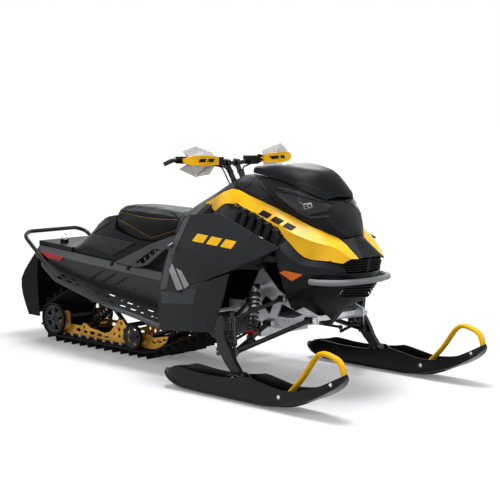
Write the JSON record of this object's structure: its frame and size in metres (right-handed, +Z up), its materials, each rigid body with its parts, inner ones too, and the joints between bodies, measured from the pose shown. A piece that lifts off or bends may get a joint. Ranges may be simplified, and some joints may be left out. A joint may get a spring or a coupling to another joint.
{
  "type": "snowmobile",
  "caption": "Trail snowmobile with steerable skis, a rubber drive track on a pierced-rail skid, a short seat, hood with side bands and a tubular rear grab bar.",
  "frame": {"origin": "under the middle of the overall box, at the level of the track's lug tips and the skis' keels", "axes": "+X forward along the track, +Y to the rider's left, +Z up"},
  "size_m": [2.7456, 1.166, 1.1431],
  "materials": {
    "band_yellow": "gloss",
    "board_grey": "matt",
    "body_black": "satin",
    "body_dark_grey": "satin",
    "brace_grey": "satin",
    "bumper_grey": "satin",
    "cast_grey": "cast",
    "deflector_clear": "satin",
    "flap_rubber": "matt",
    "frame_black": "satin",
    "grip_rubber": "matt",
    "lens_clear": "gloss",
    "lens_red": "gloss",
    "loop_yellow": "satin",
    "rail_gold": "satin",
    "seat_cover": "matt",
    "ski_plastic": "satin",
    "slide_plastic": "matt",
    "spring_steel": "satin",
    "track_rubber": "matt",
    "tunnel_black": "satin",
    "visor_black": "gloss",
    "wheel_grey": "satin"
  },
  "bodies": {
    "chassis": {"track": "track_rubber", "idler_wheels": "wheel_grey", "skid_rails": "rail_gold", "rail_slides": "slide_plastic", "skid_arms": "frame_black", "skid_shocks": "spring_steel", "drive_axle": "frame_black", "tunnel": "tunnel_black", "running_boards": "board_grey", "rear_bumper": "frame_black", "snow_flap": "flap_rubber", "tail_lamps": "lens_red", "cargo_deck": "body_black", "tail_cover": "body_black", "seat": "seat_cover", "hood_bands": "band_yellow", "hood": "body_black", "console": "body_black", "windshield": "visor_black", "headlamps": "lens_clear", "bulkhead": "cast_grey", "belly_pan": "body_dark_grey", "front_bumper": "bumper_grey", "side_panels": "body_dark_grey", "lower_panels": "body_dark_grey", "louvres": "body_black", "engine": "cast_grey", "brace_frame": "brace_grey", "lower_arms": "frame_black", "upper_arms": "frame_black", "front_shocks": "spring_steel", "nose_grille": "body_black"},
    "handlebar": {"handlebar": "frame_black", "grips": "grip_rubber", "hand_guards": "band_yellow", "deflectors": "deflector_clear", "bar_controls": "body_black"},
    "spindle_left": {"spindle_left": "frame_black"},
    "tie_rod_left": {"tie_rod_left": "frame_black"},
    "ski_left": {"ski_left": "ski_plastic", "ski_loop_left": "loop_yellow"},
    "spindle_right": {"spindle_right": "frame_black"},
    "tie_rod_right": {"tie_rod_right": "frame_black"},
    "ski_right": {"ski_right": "ski_plastic", "ski_loop_right": "loop_yellow"}
  },
  "joints": [
    {"name": "steering", "type": "hinge", "parent": "chassis", "child": "handlebar", "pos_m": [0.1605, 0, 1.05], "axis": [-0.5, 0, 0.866], "range_deg": [-32, 32]},
    {"name": "kingpin_left", "type": "hinge", "parent": "chassis", "child": "spindle_left", "pos_m": [0.6425, 0.46, 0.2], "axis": [-0.2739, -0.1911, 0.9426], "range_deg": [-28, 28]},
    {"name": "tie_rod_left_pivot", "type": "hinge", "parent": "spindle_left", "child": "tie_rod_left", "pos_m": [0.5145, 0.44, 0.196], "axis": [-0.2739, -0.1911, 0.9426], "range_deg": [-28, 28]},
    {"name": "ski_pitch_left", "type": "hinge", "parent": "spindle_left", "child": "ski_left", "pos_m": [0.7175, 0.51, 0.098], "axis": [0, -1, 0], "range_deg": [-12, 20]},
    {"name": "kingpin_right", "type": "hinge", "parent": "chassis", "child": "spindle_right", "pos_m": [0.6425, -0.46, 0.2], "axis": [-0.2739, 0.1911, 0.9426], "range_deg": [-28, 28]},
    {"name": "tie_rod_right_pivot", "type": "hinge", "parent": "spindle_right", "child": "tie_rod_right", "pos_m": [0.5145, -0.44, 0.196], "axis": [-0.2739, 0.1911, 0.9426], "range_deg": [-28, 28]},
    {"name": "ski_pitch_right", "type": "hinge", "parent": "spindle_right", "child": "ski_right", "pos_m": [0.7175, -0.51, 0.098], "axis": [0, -1, 0], "range_deg": [-12, 20]}
  ],
  "couplings": [
    {"joint": "kingpin_left", "follows": "steering", "ratio": 0.85},
    {"joint": "tie_rod_left_pivot", "follows": "steering", "ratio": -0.85},
    {"joint": "kingpin_right", "follows": "steering", "ratio": 0.85},
    {"joint": "tie_rod_right_pivot", "follows": "steering", "ratio": -0.85}
  ]
}
